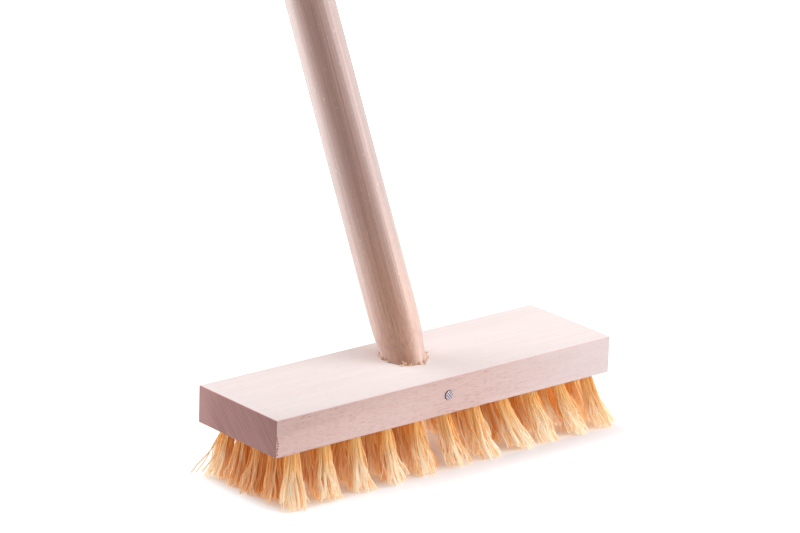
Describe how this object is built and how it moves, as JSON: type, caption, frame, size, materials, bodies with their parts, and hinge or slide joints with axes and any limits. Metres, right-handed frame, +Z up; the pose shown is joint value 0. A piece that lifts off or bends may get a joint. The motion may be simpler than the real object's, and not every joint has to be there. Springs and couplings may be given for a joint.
{
  "type": "floor brush",
  "caption": "Wooden floor brush: a flat beech block on splayed tufts of stiff plant fibre, with a long round handle nailed in at a slant.",
  "frame": {"origin": "middle of the block's underside, the flat face that the tufts stand in; the floor is 32.5 mm below it", "axes": "+Z up from the floor, +X along the block, -Y towards the front side with the nail's head; the handle leans back towards +Y"},
  "size_m": [0.2512, 0.6231, 1.2051],
  "materials": {
    "block_beech": "planed, raw, fine short flecks",
    "handle_beech": "turned, raw, straight fine grain, slightly fuzzy",
    "nail_steel": "bright wire, checkered head",
    "plant_fibre": "stiff wavy plant fibre, cream where lit and deep orange where light comes through"
  },
  "bodies": {
    "root": {"brush_block": "block_beech", "handle": "handle_beech", "handle_nail": "nail_steel", "tuft_row1_col01": "plant_fibre", "tuft_row1_col02": "plant_fibre", "tuft_row1_col03": "plant_fibre", "tuft_row1_col04": "plant_fibre", "tuft_row1_col05": "plant_fibre", "tuft_row1_col06": "plant_fibre", "tuft_row1_col07": "plant_fibre", "tuft_row1_col08": "plant_fibre", "tuft_row1_col09": "plant_fibre", "tuft_row1_col10": "plant_fibre", "tuft_row1_col11": "plant_fibre", "tuft_row2_col01": "plant_fibre", "tuft_row2_col02": "plant_fibre", "tuft_row2_col03": "plant_fibre", "tuft_row2_col04": "plant_fibre", "tuft_row2_col05": "plant_fibre", "tuft_row2_col07": "plant_fibre", "tuft_row2_col08": "plant_fibre", "tuft_row2_col09": "plant_fibre", "tuft_row2_col10": "plant_fibre", "tuft_row2_col11": "plant_fibre", "tuft_row3_col01": "plant_fibre", "tuft_row3_col02": "plant_fibre", "tuft_row3_col03": "plant_fibre", "tuft_row3_col04": "plant_fibre", "tuft_row3_col05": "plant_fibre", "tuft_row3_col07": "plant_fibre", "tuft_row3_col08": "plant_fibre", "tuft_row3_col09": "plant_fibre", "tuft_row3_col10": "plant_fibre", "tuft_row3_col11": "plant_fibre", "tuft_row4_col01": "plant_fibre", "tuft_row4_col02": "plant_fibre", "tuft_row4_col03": "plant_fibre", "tuft_row4_col04": "plant_fibre", "tuft_row4_col05": "plant_fibre", "tuft_row4_col07": "plant_fibre", "tuft_row4_col08": "plant_fibre", "tuft_row4_col09": "plant_fibre", "tuft_row4_col10": "plant_fibre", "tuft_row4_col11": "plant_fibre", "tuft_row5_col01": "plant_fibre", "tuft_row5_col02": "plant_fibre", "tuft_row5_col03": "plant_fibre", "tuft_row5_col04": "plant_fibre", "tuft_row5_col05": "plant_fibre", "tuft_row5_col06": "plant_fibre", "tuft_row5_col07": "plant_fibre", "tuft_row5_col08": "plant_fibre", "tuft_row5_col09": "plant_fibre", "tuft_row5_col10": "plant_fibre", "tuft_row5_col11": "plant_fibre"}
  },
  "joints": []
}
